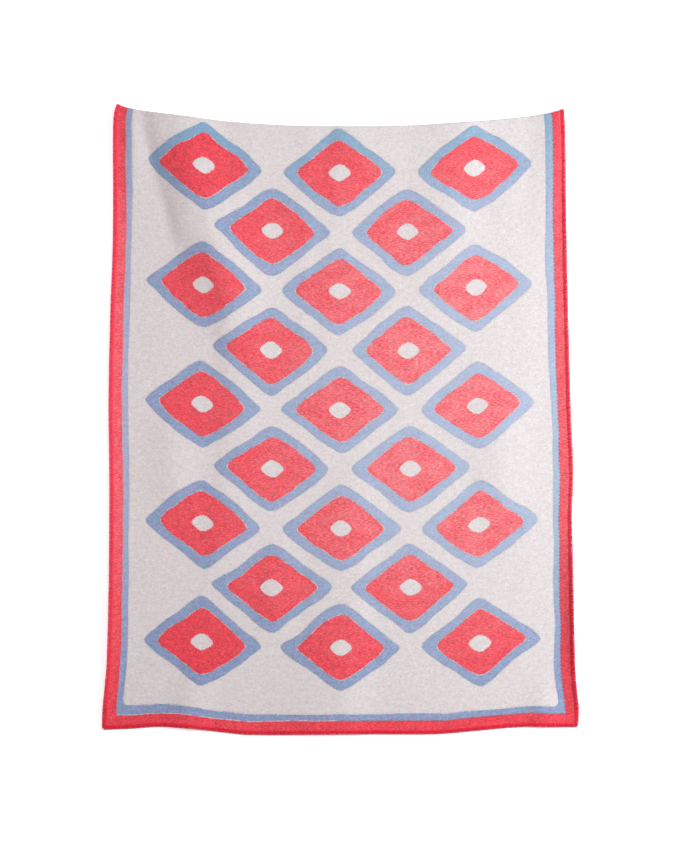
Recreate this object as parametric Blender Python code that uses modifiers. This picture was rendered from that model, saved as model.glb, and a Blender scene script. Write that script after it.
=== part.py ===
"""A woven wool blanket, spread face up on a flat surface with its head turned under.

Metres, +Z up. X runs across the cloth and Y from the hem to the head. The surface is at z = 0, and the
middle of the blanket's box is over the origin.
"""
import math
from collections import namedtuple

import bmesh
import bpy
from mathutils import Vector

# The cut, 1.300 m wide; the sides below are how wide it lies
CUT_LENGTH = 1.800
CLOTH = 0.003                # thickness of the brushed double cloth
LAYER_GAP = 0.0034           # air between the turned-under head and the cloth above it

# The head, turned under along one thread
SHOWN_LENGTH = 1.686         # cloth from the hem to the fold
FOLD_RADIUS = (CLOTH + LAYER_GAP) / 2
FOLD_END = SHOWN_LENGTH + math.pi * FOLD_RADIUS
FOLD_REACH = FOLD_RADIUS + CLOTH / 2
FLAP_DEPTH = CUT_LENGTH - FOLD_END
STEP_RAMP = 0.120            # run over which the cloth comes down past the end of the flap

# The grid of the sheet
COLUMNS = 46
SHOWN_ROWS = 50
FOLD_ROWS = 4
FLAP_ROWS = 3
COLUMN_CROWDING = 0.25       # share by which the cells are narrower at the sides
ROW_CROWDING = 0.35          # share by which they are shorter at the hem and the fold

WOOL_WHITE = (0.56, 0.515, 0.51, 1.0)
WOOL_ROUGHNESS = 0.93

# The sides on the plan: height above the lowest point of the hem, left side, right side
Sides = namedtuple("Sides", "height left right")
SIDES = (
    Sides(0.00, -0.647, 0.646),
    Sides(0.07, -0.645, 0.649),
    Sides(0.13, -0.639, 0.643),
    Sides(0.20, -0.633, 0.638),
    Sides(0.40, -0.628, 0.634),
    Sides(0.60, -0.626, 0.631),
    Sides(0.72, -0.626, 0.634),
    Sides(0.90, -0.628, 0.627),
    Sides(1.16, -0.623, 0.620),
    Sides(1.35, -0.617, 0.616),
    Sides(1.64, -0.616, 0.611),
    Sides(1.69, -0.613, 0.608),
    Sides(1.72, -0.603, 0.605),
)

# The hem and the head on the plan: share of the width from the left, height above the hem's lowest point
Edge = namedtuple("Edge", "across height")
HEM = (
    Edge(0.00, 0.014),
    Edge(0.06, 0.017),
    Edge(0.12, 0.022),
    Edge(0.18, 0.018),
    Edge(0.25, 0.007),
    Edge(0.31, 0.000),
    Edge(0.50, 0.002),
    Edge(0.70, 0.002),
    Edge(0.78, 0.010),
    Edge(0.88, 0.021),
    Edge(1.00, 0.021),
)
HEAD = (
    Edge(0.00, 1.713),
    Edge(0.03, 1.703),
    Edge(0.11, 1.687),
    Edge(0.30, 1.662),
    Edge(0.51, 1.654),
    Edge(0.72, 1.660),
    Edge(0.90, 1.678),
    Edge(0.97, 1.689),
    Edge(1.00, 1.699),
)

# The folds on the plan. Each is a low ridge that runs along the bends with its name, from the head's end to
# the hem's. Columns: place, how far its flanks reach to the left and to the right, and height.
Bend = namedtuple("Bend", "fold x y to_left to_right lift")
BENDS = (
    Bend("corner roll", -0.478, 1.740, 0.092, 0.180, 0.0160),
    Bend("corner roll", -0.460, 1.680, 0.088, 0.180, 0.0160),
    Bend("corner roll", -0.420, 1.540, 0.082, 0.175, 0.0165),
    Bend("corner roll", -0.388, 1.400, 0.082, 0.170, 0.0165),
    Bend("corner roll", -0.350, 1.300, 0.082, 0.160, 0.0155),
    Bend("corner roll", -0.322, 1.190, 0.080, 0.150, 0.0115),
    Bend("corner roll", -0.298, 1.080, 0.072, 0.130, 0.0062),
    Bend("corner roll", -0.288, 0.960, 0.066, 0.110, 0.0000),
    Bend("left pull", -0.558, 1.740, 0.042, 0.050, 0.0060),
    Bend("left pull", -0.560, 1.640, 0.042, 0.050, 0.0055),
    Bend("left pull", -0.564, 1.500, 0.042, 0.050, 0.0020),
    Bend("left pull", -0.566, 1.380, 0.042, 0.050, 0.0000),
    Bend("head, left of middle", -0.262, 1.740, 0.060, 0.110, 0.0035),
    Bend("head, left of middle", -0.262, 1.560, 0.060, 0.110, 0.0030),
    Bend("head, left of middle", -0.250, 1.400, 0.060, 0.100, 0.0012),
    Bend("head, left of middle", -0.245, 1.280, 0.060, 0.100, 0.0000),
    Bend("head, middle", 0.005, 1.740, 0.036, 0.110, 0.0038),
    Bend("head, middle", 0.003, 1.640, 0.036, 0.110, 0.0036),
    Bend("head, middle", -0.002, 1.540, 0.036, 0.100, 0.0022),
    Bend("head, middle", -0.012, 1.300, 0.040, 0.080, 0.0014),
    Bend("head, middle", -0.020, 1.050, 0.040, 0.080, 0.0010),
    Bend("head, middle", -0.020, 0.900, 0.040, 0.080, 0.0000),
    Bend("head, right of middle", 0.335, 1.740, 0.150, 0.100, 0.0080),
    Bend("head, right of middle", 0.320, 1.560, 0.150, 0.100, 0.0075),
    Bend("head, right of middle", 0.300, 1.360, 0.150, 0.100, 0.0055),
    Bend("head, right of middle", 0.285, 1.180, 0.150, 0.100, 0.0020),
    Bend("head, right of middle", 0.280, 1.080, 0.150, 0.100, 0.0000),
    Bend("right pull", 0.588, 1.740, 0.080, 0.050, 0.0090),
    Bend("right pull", 0.578, 1.560, 0.075, 0.050, 0.0060),
    Bend("right pull", 0.562, 1.380, 0.070, 0.050, 0.0020),
    Bend("right pull", 0.555, 1.250, 0.070, 0.050, 0.0000),
    Bend("long left drape", -0.275, 1.140, 0.070, 0.120, 0.0000),
    Bend("long left drape", -0.282, 1.020, 0.070, 0.120, 0.0035),
    Bend("long left drape", -0.290, 0.760, 0.070, 0.120, 0.0042),
    Bend("long left drape", -0.330, 0.520, 0.070, 0.120, 0.0036),
    Bend("long left drape", -0.350, 0.400, 0.070, 0.120, 0.0015),
    Bend("long left drape", -0.355, 0.320, 0.070, 0.120, 0.0000),
    Bend("left swell", -0.455, 0.900, 0.080, 0.080, 0.0000),
    Bend("left swell", -0.458, 0.820, 0.080, 0.080, 0.0042),
    Bend("left swell", -0.455, 0.680, 0.080, 0.080, 0.0046),
    Bend("left swell", -0.445, 0.560, 0.080, 0.080, 0.0000),
    Bend("low left drape", -0.170, 0.560, 0.060, 0.100, 0.0000),
    Bend("low left drape", -0.175, 0.440, 0.060, 0.100, 0.0036),
    Bend("low left drape", -0.185, 0.320, 0.060, 0.100, 0.0036),
    Bend("low left drape", -0.200, 0.220, 0.060, 0.100, 0.0000),
    Bend("middle drape", 0.035, 0.820, 0.110, 0.110, 0.0000),
    Bend("middle drape", 0.035, 0.680, 0.110, 0.110, 0.0040),
    Bend("middle drape", 0.025, 0.400, 0.150, 0.110, 0.0065),
    Bend("middle drape", 0.005, 0.160, 0.230, 0.110, 0.0090),
    Bend("middle drape", 0.000, -0.030, 0.260, 0.110, 0.0090),
    Bend("right drape", 0.415, 1.000, 0.110, 0.110, 0.0000),
    Bend("right drape", 0.425, 0.880, 0.110, 0.110, 0.0046),
    Bend("right drape", 0.440, 0.660, 0.110, 0.110, 0.0050),
    Bend("right drape", 0.450, 0.520, 0.110, 0.110, 0.0000),
    Bend("left edge lift", -0.622, 1.240, 0.040, 0.065, 0.0000),
    Bend("left edge lift", -0.625, 1.120, 0.040, 0.065, 0.0040),
    Bend("left edge lift", -0.628, 0.900, 0.040, 0.065, 0.0050),
    Bend("left edge lift", -0.626, 0.650, 0.040, 0.065, 0.0046),
    Bend("left edge lift", -0.625, 0.420, 0.040, 0.065, 0.0040),
    Bend("left edge lift", -0.628, 0.280, 0.040, 0.065, 0.0060),
    Bend("left edge lift", -0.635, 0.160, 0.040, 0.065, 0.0040),
    Bend("left edge lift", -0.640, 0.080, 0.040, 0.065, 0.0000),
    Bend("right edge curl", 0.640, 0.540, 0.050, 0.040, 0.0000),
    Bend("right edge curl", 0.640, 0.460, 0.050, 0.040, 0.0050),
    Bend("right edge curl", 0.642, 0.330, 0.050, 0.040, 0.0072),
    Bend("right edge curl", 0.645, 0.230, 0.050, 0.040, 0.0050),
    Bend("right edge curl", 0.648, 0.160, 0.050, 0.040, 0.0000),
    Bend("hem left lift", -0.365, 0.240, 0.085, 0.085, 0.0000),
    Bend("hem left lift", -0.380, 0.160, 0.085, 0.085, 0.0034),
    Bend("hem left lift", -0.410, 0.060, 0.085, 0.085, 0.0090),
    Bend("hem left lift", -0.425, -0.030, 0.085, 0.085, 0.0110),
    Bend("hem right lift", 0.548, 0.170, 0.055, 0.060, 0.0000),
    Bend("hem right lift", 0.550, 0.120, 0.055, 0.060, 0.0022),
    Bend("hem right lift", 0.555, 0.060, 0.055, 0.060, 0.0062),
    Bend("hem right lift", 0.560, -0.030, 0.055, 0.060, 0.0080),
)


def smooth_between(places, values, place):
    """Reads a table of places and values at any place, on a smooth curve through its rows."""
    last = len(places) - 1
    row = 0
    while row < last - 1 and place > places[row + 1]:
        row += 1
    gap = places[row + 1] - places[row]
    share = min(max((place - places[row]) / gap, 0.0), 1.0)

    def slope(index):
        before = max(index - 1, 0)
        after = min(index + 1, last)
        return (values[after] - values[before]) / (places[after] - places[before])

    start, end = values[row], values[row + 1]
    start_pull = slope(row) * gap
    end_pull = slope(row + 1) * gap
    rise = end - start
    return start + share * (start_pull + share * (
        3 * rise - 2 * start_pull - end_pull + share * (start_pull + end_pull - 2 * rise)))


def ease(share):
    """Goes from 0 to 1 and is level at both ends."""
    share = min(max(share, 0.0), 1.0)
    return share * share * (3 - 2 * share)


def crowd(share, crowding):
    """Moves evenly spaced shares towards 0 and 1."""
    return share - crowding * math.sin(2 * math.pi * share) / (2 * math.pi)


def side_places(height):
    """The left and right side of the cloth at a height on the plan."""
    heights = [row.height for row in SIDES]
    left = smooth_between(heights, [row.left for row in SIDES], height)
    right = smooth_between(heights, [row.right for row in SIDES], height)
    return left, right


def edge_height(edge, across):
    """The height on the plan of the hem or the head."""
    return smooth_between([row.across for row in edge], [row.height for row in edge], across)


def plan_place(across, run):
    """Where a point of the face lies on the plan: run is 0 at the hem and 1 at the fold."""
    hem = edge_height(HEM, across)
    head = edge_height(HEAD, across) - FOLD_REACH
    y = hem + (head - hem) * run
    left, right = side_places(y)
    return left + (right - left) * across, y


def ridge(start, end, x, y):
    """The lift that the stretch of a fold between two of its bends gives at a place."""
    run = Vector((end.x - start.x, end.y - start.y))
    reach = Vector((x - start.x, y - start.y))
    share = min(max(reach.dot(run) / run.length_squared, 0.0), 1.0)
    away = reach - run * share
    side = away.x / away.length if away.length > 0 else 0.0
    to_left = start.to_left + (end.to_left - start.to_left) * share
    to_right = start.to_right + (end.to_right - start.to_right) * share
    flank = (to_left + to_right) / 2 + side * (to_right - to_left) / 2
    if away.length >= flank:
        return 0.0
    lift = start.lift + (end.lift - start.lift) * share
    return lift * math.cos(away.length / flank * math.pi / 2) ** 2


def fold_lift(x, y):
    """How far the folds hold the cloth off the surface."""
    lifts = {}
    for start, end in zip(BENDS, BENDS[1:]):
        if start.fold == end.fold:
            lifts[start.fold] = max(lifts.get(start.fold, 0.0), ridge(start, end, x, y))
    return sum(lifts.values())


def step_lift(along):
    """How far the turned-under head holds the face off the surface, metres from the hem."""
    past_ramp = along - (SHOWN_LENGTH - FLAP_DEPTH - STEP_RAMP)
    return 2 * FOLD_RADIUS * ease(past_ramp / STEP_RAMP)


def laid_place(across, along):
    """Where a point of the cut lies: across is a share of its width, along is metres from the hem."""
    if along <= SHOWN_LENGTH:
        run = along / SHOWN_LENGTH
        x, y = plan_place(across, run)
        return Vector((x, y, CLOTH / 2 + step_lift(along) + fold_lift(x, y)))
    turn = (min(along, FOLD_END) - SHOWN_LENGTH) / FOLD_RADIUS
    tucked = max(along - FOLD_END, 0.0)
    x, y = plan_place(across, 1.0)
    y -= tucked
    lift = fold_lift(x, y)
    return Vector((x, y + FOLD_RADIUS * math.sin(turn), CLOTH / 2 + FOLD_RADIUS * (1 + math.cos(turn)) + lift))


def row_lengths():
    """How far from the hem each row of the grid is on the cut."""
    shown = [crowd(row / SHOWN_ROWS, ROW_CROWDING) * SHOWN_LENGTH for row in range(SHOWN_ROWS + 1)]
    fold = [SHOWN_LENGTH + (FOLD_END - SHOWN_LENGTH) * row / FOLD_ROWS for row in range(1, FOLD_ROWS + 1)]
    flap = [FOLD_END + FLAP_DEPTH * row / FLAP_ROWS for row in range(1, FLAP_ROWS + 1)]
    return shown + fold + flap


def wool():
    """Brushed off-white wool."""
    material = bpy.data.materials.new("brushed_wool")
    material.use_nodes = True
    shader = material.node_tree.nodes["Principled BSDF"]
    shader.inputs["Base Color"].default_value = WOOL_WHITE
    shader.inputs["Roughness"].default_value = WOOL_ROUGHNESS
    shader.inputs["Metallic"].default_value = 0.0
    return material


def blanket(collection):
    """The one panel of cloth: a flat grid laid on its folds and given the cloth's thickness."""
    lengths = row_lengths()
    rows = len(lengths) - 1
    sheet = bmesh.new()
    bmesh.ops.create_grid(sheet, x_segments=COLUMNS, y_segments=rows, size=0.5)
    for point in sheet.verts:
        across = crowd(point.co.x + 0.5, COLUMN_CROWDING)
        along = lengths[round((point.co.y + 0.5) * rows)]
        point.co = laid_place(across, along)
    xs = [point.co.x for point in sheet.verts]
    ys = [point.co.y for point in sheet.verts]
    head = max(ys) + CLOTH / 2
    middle = Vector(((min(xs) + max(xs)) / 2, (min(ys) + head) / 2, 0))
    bmesh.ops.translate(sheet, verts=sheet.verts, vec=-middle)
    mesh = bpy.data.meshes.new("blanket")
    sheet.to_mesh(mesh)
    sheet.free()
    mesh.shade_smooth()
    mesh.materials.append(wool())
    panel = bpy.data.objects.new("blanket", mesh)
    thicken = panel.modifiers.new("cloth thickness", "SOLIDIFY")
    thicken.thickness = CLOTH
    thicken.offset = 0
    collection.objects.link(panel)
    return panel


def main():
    for thing in list(bpy.data.objects):
        bpy.data.objects.remove(thing)
    collection = bpy.data.collections.new("wool_blanket")
    bpy.context.scene.collection.children.link(collection)
    blanket(collection)


main()
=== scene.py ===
"""Dresses the wool blanket: the cloth on its folds, its overlocked edge, its nap, and the studio around it.

Metres, in the frame of the solids: X across the cloth, Y from the hem to the head, +Z up. The cloth has a
second frame of its own, the cut: across from its left side and along from its hem, in metres. Colours,
borders and motifs are laid out on the cut, as they are woven, and so they follow every fold.
"""

import math
from collections import namedtuple
from types import SimpleNamespace

import bpy
import numpy as np
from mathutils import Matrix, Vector, noise


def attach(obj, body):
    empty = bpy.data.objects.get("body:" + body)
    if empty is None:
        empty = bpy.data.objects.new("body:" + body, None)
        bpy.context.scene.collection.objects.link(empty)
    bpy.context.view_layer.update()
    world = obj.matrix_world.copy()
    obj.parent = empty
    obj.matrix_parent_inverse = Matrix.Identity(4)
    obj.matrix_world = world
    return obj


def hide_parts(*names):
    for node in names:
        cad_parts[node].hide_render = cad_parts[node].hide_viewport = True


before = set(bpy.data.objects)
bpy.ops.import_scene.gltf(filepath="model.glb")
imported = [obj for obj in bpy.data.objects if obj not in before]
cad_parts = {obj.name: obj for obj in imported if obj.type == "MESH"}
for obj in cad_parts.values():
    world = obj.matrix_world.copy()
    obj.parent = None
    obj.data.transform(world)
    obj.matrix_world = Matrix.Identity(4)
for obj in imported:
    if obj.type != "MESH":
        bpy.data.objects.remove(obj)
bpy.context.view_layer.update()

# The cut
CUT_WIDTH = 1.300
CUT_LENGTH = 1.800
CLOTH = 0.003  # thickness of the brushed double cloth
LAYER_GAP = 0.0034  # air between the turned-under head and the cloth above it

# The head, turned under along one thread
SHOWN_LENGTH = 1.686  # cloth from the hem to the fold
FOLD_RADIUS = (CLOTH + LAYER_GAP) / 2
FOLD_END = SHOWN_LENGTH + math.pi * FOLD_RADIUS
FOLD_REACH = FOLD_RADIUS + CLOTH / 2
FLAP_DEPTH = CUT_LENGTH - FOLD_END
STEP_RAMP = 0.120  # run over which the cloth comes down past the end of the flap

# The grid of the fine sheet
COLUMNS = 188
SHOWN_ROWS = 236
FOLD_ROWS = 8
FLAP_ROWS = 12
CROWDING = 0.20  # share by which the cells are shorter near the edges
OUTLINE_SAMPLES = 400

# The overlocked edge
STITCH_PITCH = 0.0043  # from one stitch to the next
STITCH_REACH = 0.0082  # from the cut edge to the needle line
STITCH_DIP = 0.0006  # how far the needle takes the yarn down into the cloth
STITCH_CROWN = ((0.78, 0.0001), (0.5, 0.0002), (0.22, 0.0))  # share of the reach, and rise off the cloth
STITCH_SLANT = 0.0011  # how far ahead its rim end lies
STITCH_SIDES = 8
RIM_START = 0.25  # angle at which the yarn begins to round the rim
RIM_RINGS = 6
YARN_HALF_WIDTH = 0.00170  # the yarn lies flattened, and a little of the cloth shows between stitches
YARN_HALF_THICKNESS = 0.0008
YARN_TAPER = (0.35, 0.75, 1.0)
REACH_STRAY = (-0.09, 0.07)  # how uneven single stitches are
SLANT_STRAY = 0.0004
SWAY_STRAY = 0.00025
PLUMP_STRAY = (-0.10, 0.06)
ARCH_RINGS = 6
NEEDLE_THREAD = 0.00048  # radius of the thread along the needle line
NEEDLE_INSET = 0.0003
NEEDLE_SINK = 0.0004
NEEDLE_RISE = 0.0011
NEEDLE_SIDES = 5
PURL = 0.00075  # radius of the purl along the rim
PURL_THIN = 0.55  # its ends, as a share
PURL_FLAT = 0.9
PURL_LENGTH = 1.1 * STITCH_PITCH
PURL_OUT = CLOTH / 2 + 1.7 * YARN_HALF_THICKNESS - 0.0003
PURL_BOW = 0.0004
PURL_SWING = 0.0011
PURL_STRAY = 0.0002
PURL_SIDES = 6
EDGE_INSET = CLOTH / 2 + 2 * YARN_HALF_THICKNESS  # the cut edge lies this far inside the yarn
EDGE_LIFT = 2 * YARN_HALF_THICKNESS + 0.0001  # the yarn below the cloth holds it this far up
EDGE_STEP = 0.001  # how far ahead and behind the way along an edge is measured
EDGE_LIFT_RUN = 0.030  # run over which the cloth comes down from its edge

# The nap
NAP_COUNT = 46000
NAP_SEED = 11
NAP_MARGIN = STITCH_REACH + 0.002
NAP_END = SHOWN_LENGTH + 1.5 * FOLD_RADIUS
NAP_LENGTH = (0.0035, 0.0085)
NAP_HALF_WIDTH = (0.000133, 0.000228)
NAP_LEAN = (6, 38)  # degrees above the face
NAP_SPREAD = 1.25  # radians to either side of the way to the hem
NAP_SWEEP = 0.25  # how far its tip bends aside, as a share of its length
NAP_BELLY = 1.4
NAP_ROOT_DEPTH = 0.0004
NAP_STEP = 0.002  # how far to each side the way across is measured
FACE_STEP = 0.0015  # and the slope of the face

# The sides on the plan, by height above the lowest point of the hem
SIDE_HEIGHTS = (0.00, 0.07, 0.13, 0.20, 0.40, 0.60, 0.72, 0.90, 1.16, 1.35, 1.64, 1.69, 1.72)
LEFT_SIDE = (-0.647, -0.645, -0.639, -0.633, -0.628, -0.626, -0.626, -0.628, -0.623, -0.617, -0.616, -0.613,
             -0.603)
RIGHT_SIDE = (0.646, 0.649, 0.643, 0.638, 0.634, 0.631, 0.634, 0.627, 0.620, 0.616, 0.611, 0.608, 0.605)

# The hem and the head on the plan: share of the width from the left, height above the hem's lowest point
HEM_SHARES = (0.00, 0.06, 0.12, 0.18, 0.25, 0.31, 0.50, 0.70, 0.78, 0.88, 1.00)
HEM_HEIGHTS = (0.014, 0.017, 0.022, 0.018, 0.007, 0.000, 0.002, 0.002, 0.010, 0.021, 0.021)
HEAD_SHARES = (0.00, 0.03, 0.11, 0.30, 0.51, 0.72, 0.90, 0.97, 1.00)
HEAD_HEIGHTS = (1.713, 1.703, 1.687, 1.662, 1.654, 1.660, 1.678, 1.689, 1.699)

# Folds are low ridges on the plan. Each runs along its bends, from the head's end to the hem's.
Fold = namedtuple("Fold", "name bends")
Bend = namedtuple("Bend", "x y to_left to_right lift")


def fold(name, *bends):
    """A fold, from its bends in millimetres: place, reach of the flanks to left and right, and height."""
    return Fold(name, [Bend(*(size / 1000 for size in bend)) for bend in bends])


# The folds that the solid has too
FOLDS = (
    fold("corner roll", (-478, 1740, 92, 180, 16), (-460, 1680, 88, 180, 16), (-420, 1540, 82, 175, 16.5),
         (-388, 1400, 82, 170, 16.5), (-350, 1300, 82, 160, 15.5), (-322, 1190, 80, 150, 11.5),
         (-298, 1080, 72, 130, 6.2), (-288, 960, 66, 110, 0)),
    fold("left pull", (-558, 1740, 42, 50, 6), (-560, 1640, 42, 50, 5.5), (-564, 1500, 42, 50, 2),
         (-566, 1380, 42, 50, 0)),
    fold("head, left of middle", (-262, 1740, 60, 110, 3.5), (-262, 1560, 60, 110, 3),
         (-250, 1400, 60, 100, 1.2), (-245, 1280, 60, 100, 0)),
    fold("head, middle", (5, 1740, 36, 110, 3.8), (3, 1640, 36, 110, 3.6), (-2, 1540, 36, 100, 2.2),
         (-12, 1300, 40, 80, 1.4), (-20, 1050, 40, 80, 1), (-20, 900, 40, 80, 0)),
    fold("head, right of middle", (335, 1740, 150, 100, 8), (320, 1560, 150, 100, 7.5),
         (300, 1360, 150, 100, 5.5), (285, 1180, 150, 100, 2), (280, 1080, 150, 100, 0)),
    fold("right pull", (588, 1740, 80, 50, 9), (578, 1560, 75, 50, 6), (562, 1380, 70, 50, 2),
         (555, 1250, 70, 50, 0)),
    fold("long left drape", (-275, 1140, 70, 120, 0), (-282, 1020, 70, 120, 3.5), (-290, 760, 70, 120, 4.2),
         (-330, 520, 70, 120, 3.6), (-350, 400, 70, 120, 1.5), (-355, 320, 70, 120, 0)),
    fold("left swell", (-455, 900, 80, 80, 0), (-458, 820, 80, 80, 4.2), (-455, 680, 80, 80, 4.6),
         (-445, 560, 80, 80, 0)),
    fold("low left drape", (-170, 560, 60, 100, 0), (-175, 440, 60, 100, 3.6), (-185, 320, 60, 100, 3.6),
         (-200, 220, 60, 100, 0)),
    fold("middle drape", (35, 820, 110, 110, 0), (35, 680, 110, 110, 4), (25, 400, 150, 110, 6.5),
         (5, 160, 230, 110, 9), (0, -30, 260, 110, 9)),
    fold("right drape", (415, 1000, 110, 110, 0), (425, 880, 110, 110, 4.6), (440, 660, 110, 110, 5),
         (450, 520, 110, 110, 0)),
    fold("left edge lift", (-622, 1240, 40, 65, 0), (-625, 1120, 40, 65, 4), (-628, 900, 40, 65, 5),
         (-626, 650, 40, 65, 4.6), (-625, 420, 40, 65, 4), (-628, 280, 40, 65, 6), (-635, 160, 40, 65, 4),
         (-640, 80, 40, 65, 0)),
    fold("right edge curl", (640, 540, 50, 40, 0), (640, 460, 50, 40, 5), (642, 330, 50, 40, 7.2),
         (645, 230, 50, 40, 5), (648, 160, 50, 40, 0)),
    fold("hem left lift", (-365, 240, 85, 85, 0), (-380, 160, 85, 85, 3.4), (-410, 60, 85, 85, 9),
         (-425, -30, 85, 85, 11)),
    fold("hem right lift", (548, 170, 55, 60, 0), (550, 120, 55, 60, 2.2), (555, 60, 55, 60, 6.2),
         (560, -30, 55, 60, 8)),
)

# Fine creases that only the dressed cloth has
CREASES = (
    fold("foot of the corner roll", (-518, 1740, 38, 56, 4.2), (-506, 1660, 38, 56, 4.4),
         (-470, 1520, 38, 54, 4.2), (-436, 1400, 42, 52, 4), (-410, 1300, 48, 50, 3.4),
         (-392, 1200, 56, 48, 3.4), (-372, 1120, 50, 50, 2.2), (-355, 1040, 50, 50, 0)),
    fold("back of the corner roll", (-436, 1740, 70, 200, 4.6), (-392, 1540, 70, 200, 4.8),
         (-352, 1400, 70, 200, 5.4), (-314, 1290, 70, 200, 6.2), (-292, 1190, 70, 190, 6.4),
         (-286, 1120, 70, 160, 4.4), (-282, 1030, 70, 140, 0)),
    fold("streak, left of middle", (-90, 1640, 22, 42, 1), (-105, 980, 22, 42, 0.8)),
    fold("streak, middle", (-40, 1400, 20, 34, 0.9), (-50, 700, 20, 34, 0.7)),
    fold("streak, low middle", (-70, 700, 24, 40, 0.6), (-80, 200, 24, 40, 0.6)),
    fold("streak, far right", (500, 1300, 30, 40, 0.6), (510, 900, 30, 40, 0.6)),
    fold("left rim", (-640, 1690, 20, 50, 4), (-642, 1350, 20, 50, 5.6), (-652, 900, 20, 50, 6),
         (-651, 600, 20, 50, 6), (-656, 220, 20, 50, 6), (-671, 40, 20, 50, 4.5)),
    fold("left curl", (-652, 1500, 20, 90, 0), (-656, 1250, 20, 90, 3.4), (-663, 900, 20, 90, 4.2),
         (-662, 600, 20, 90, 4.2), (-668, 200, 20, 90, 4.2), (-680, 50, 20, 90, 3)),
    fold("right lip", (628, 1690, 45, 20, 2), (634, 1350, 45, 20, 3), (645, 900, 45, 20, 3),
         (651, 620, 45, 20, 3.6), (651, 450, 36, 20, 6.4), (654, 200, 36, 20, 6.8), (665, 60, 40, 20, 4)),
    fold("right rim", (666, 640, 100, 20, 0), (670, 470, 100, 20, 4.6), (676, 220, 100, 20, 6.2),
         (678, 60, 100, 20, 0)),
    fold("pucker at the left side", (-620, 1560, 20, 20, 1), (-585, 1530, 18, 18, 0)),
    fold("pucker at the right side", (625, 730, 20, 20, 1.2), (570, 715, 20, 20, 0)),
    fold("pucker at the low right", (640, 140, 18, 18, 1.2), (590, 150, 18, 18, 0)),
    fold("hem ripple, left", (-250, 0, 25, 25, 1.2), (-245, 70, 25, 25, 0)),
    fold("hem ripple, middle", (110, 0, 28, 28, 1), (115, 60, 28, 28, 0)),
    fold("hem ripple, right", (330, 5, 30, 30, 1.3), (325, 80, 30, 30, 0)),
)

# Cockle, the small unevenness of washed wool: size of its waves, height
COCKLES = ((0.060, 0.0006), (0.022, 0.00025))

# A smooth way from one value, below low, to another, above high
Slope = namedtuple("Slope", "low high start end")

# The borders woven round the cut, from its edge inwards
RED_BAND = 0.0345
PALE_LINE = 0.0016
BLUE_BAND = 0.0190
BLUE_SWELL = 0.40  # how uneven its width is
BLUE_LEFT = -0.0022  # it is narrower down the left side
BLUE_RIGHT = Slope(0.35, 1.15, -0.0030, 0.0034)  # and low down the right side, and wider up there
BLUE_SIDES = (0.3, 1.0)  # across the cut, where the left side's width goes over into the right's
BLUE_HEM = Slope(0.06, 0.42, 0.010, 0.0)  # extra width along the ends, from the left to the right
BLUE_CORNER = 0.028  # how softly its inner corners turn
BAND_DITCH = Slope(0.0, 0.004, 1.0, 0.0)
TURN_PITCH = 0.0104  # painted shadow: dark notches at the right, where the weft turns back at the red band and the light grazes the step there
TURN_DEPTH = 0.0019
TURN_LEVEL = 0.1
TURN_SHADE = 0.55
TURN_SHADOW_COLOUR = (0.070, 0.050, 0.120)

# The motif, lozenges in staggered rows of three and two
LOZENGE_PITCH_ACROSS = 0.390
LOZENGE_PITCH_ALONG = 0.330  # from a row to the next row of the same stagger
LOZENGE_HALF_ACROSS = 0.163
LOZENGE_HALF_ALONG = 0.121
LOZENGE_TIP = 0.09  # how blunt its tips are
LOZENGE_RING = 0.260  # width from the rim inwards, as a share of the way to the middle
LOZENGE_SWELL = (0.82, 0.36)  # least width of a ring, and how much more there may be
LOZENGE_PALE_LINE = 0.014  # width of the line between ring and core
LOZENGE_HEART = 0.13  # how far out the pale heart reaches
LOZENGE_WOBBLE = 0.22  # how uneven the rims are, as a share of the way out
LOZENGE_DITCH = Slope(0.0, 0.03, 1.0, 0.0)
TWOS_REACH_ACROSS = 0.390  # how far from the middle of the cut the rows of two go
TWOS_REACH_ALONG = 0.660
OUT_OF_REACH = 4.0  # far past any rim

# The weave
WEAVE_STEP = 0.0026  # a colour edge moves by whole threads
WEAVE_RELIEF = 0.0008  # depth of the brushed weave
WARP_STEP = 0.8 * WEAVE_STEP
WEFT_SHARE = 0.5
WARP_SHARE = 0.25
WEFT_WANDER = 5.0
DITCH_DEPTH = 0.8
THREAD_CELL = (0.0031, 0.0022, 1.0)  # each thread crossing has a tone of its own
SWAY = 0.0048  # how far a colour edge strays from its line
SWAY_SIZE = 0.12
FRAY = 0.0016

# The unevenness of wool: waves to a metre across and along, detail and roughness
Waves = namedtuple("Waves", "across along detail roughness")
SWAYS = Waves(1.0, 1.0, 1.5, 0.5)
FRAYS = Waves(420.0, 420.0, 1.0, 0.5)
BREAKS = Waves(30.0, 30.0, 1.0, 0.5)
BAND_WAVES = Waves(1 / 0.24, 1 / 0.24, 1.0, 0.5)
RIM_WAVES = Waves(1 / 0.11, 1 / 0.11, 1.0, 0.5)
RING_WAVES = Waves(1.7 / 0.11, 1.7 / 0.11, 1.0, 0.5)
DYES = Waves(150.0, 150.0, 2.0, 0.55)
FLECKS = Waves(170.0, 430.0, 2.0, 0.6)
PATCHES = Waves(60.0, 110.0, 3.0, 0.65)
FINE_GLARE_WAVES = Waves(95.0, 400.0, 2.0, 0.6)
COARSE_GLARE_WAVES = Waves(14.0, 34.0, 2.0, 0.5)
WANDER = Waves(90.0, 90.0, 2.0, 0.5)
FIBRES = Waves(520.0, 900.0, 3.0, 0.7)
TUFTS = Waves(260.0, 260.0, 2.0, 0.55)
YARN_FIBRES = Waves(900.0, 900.0, 2.0, 0.6)
YARN_DYES = Waves(160.0, 160.0, 2.0, 0.5)

# Where those waves begin and end to show
BREAK_EDGES = (0.34, 0.56)
DYE_EDGES = (0.40, 0.62)
FLECK_LIMIT = 0.70
FLECK_PULL = 0.8  # how far the share of flecks moves the limit
FLECK_SOFTNESS = 0.12
FLECK_COVER = 0.38
PATCH_WEIGHT = 2.0  # beside the single threads' tones
TONE_MIDDLE = 1.5

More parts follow.
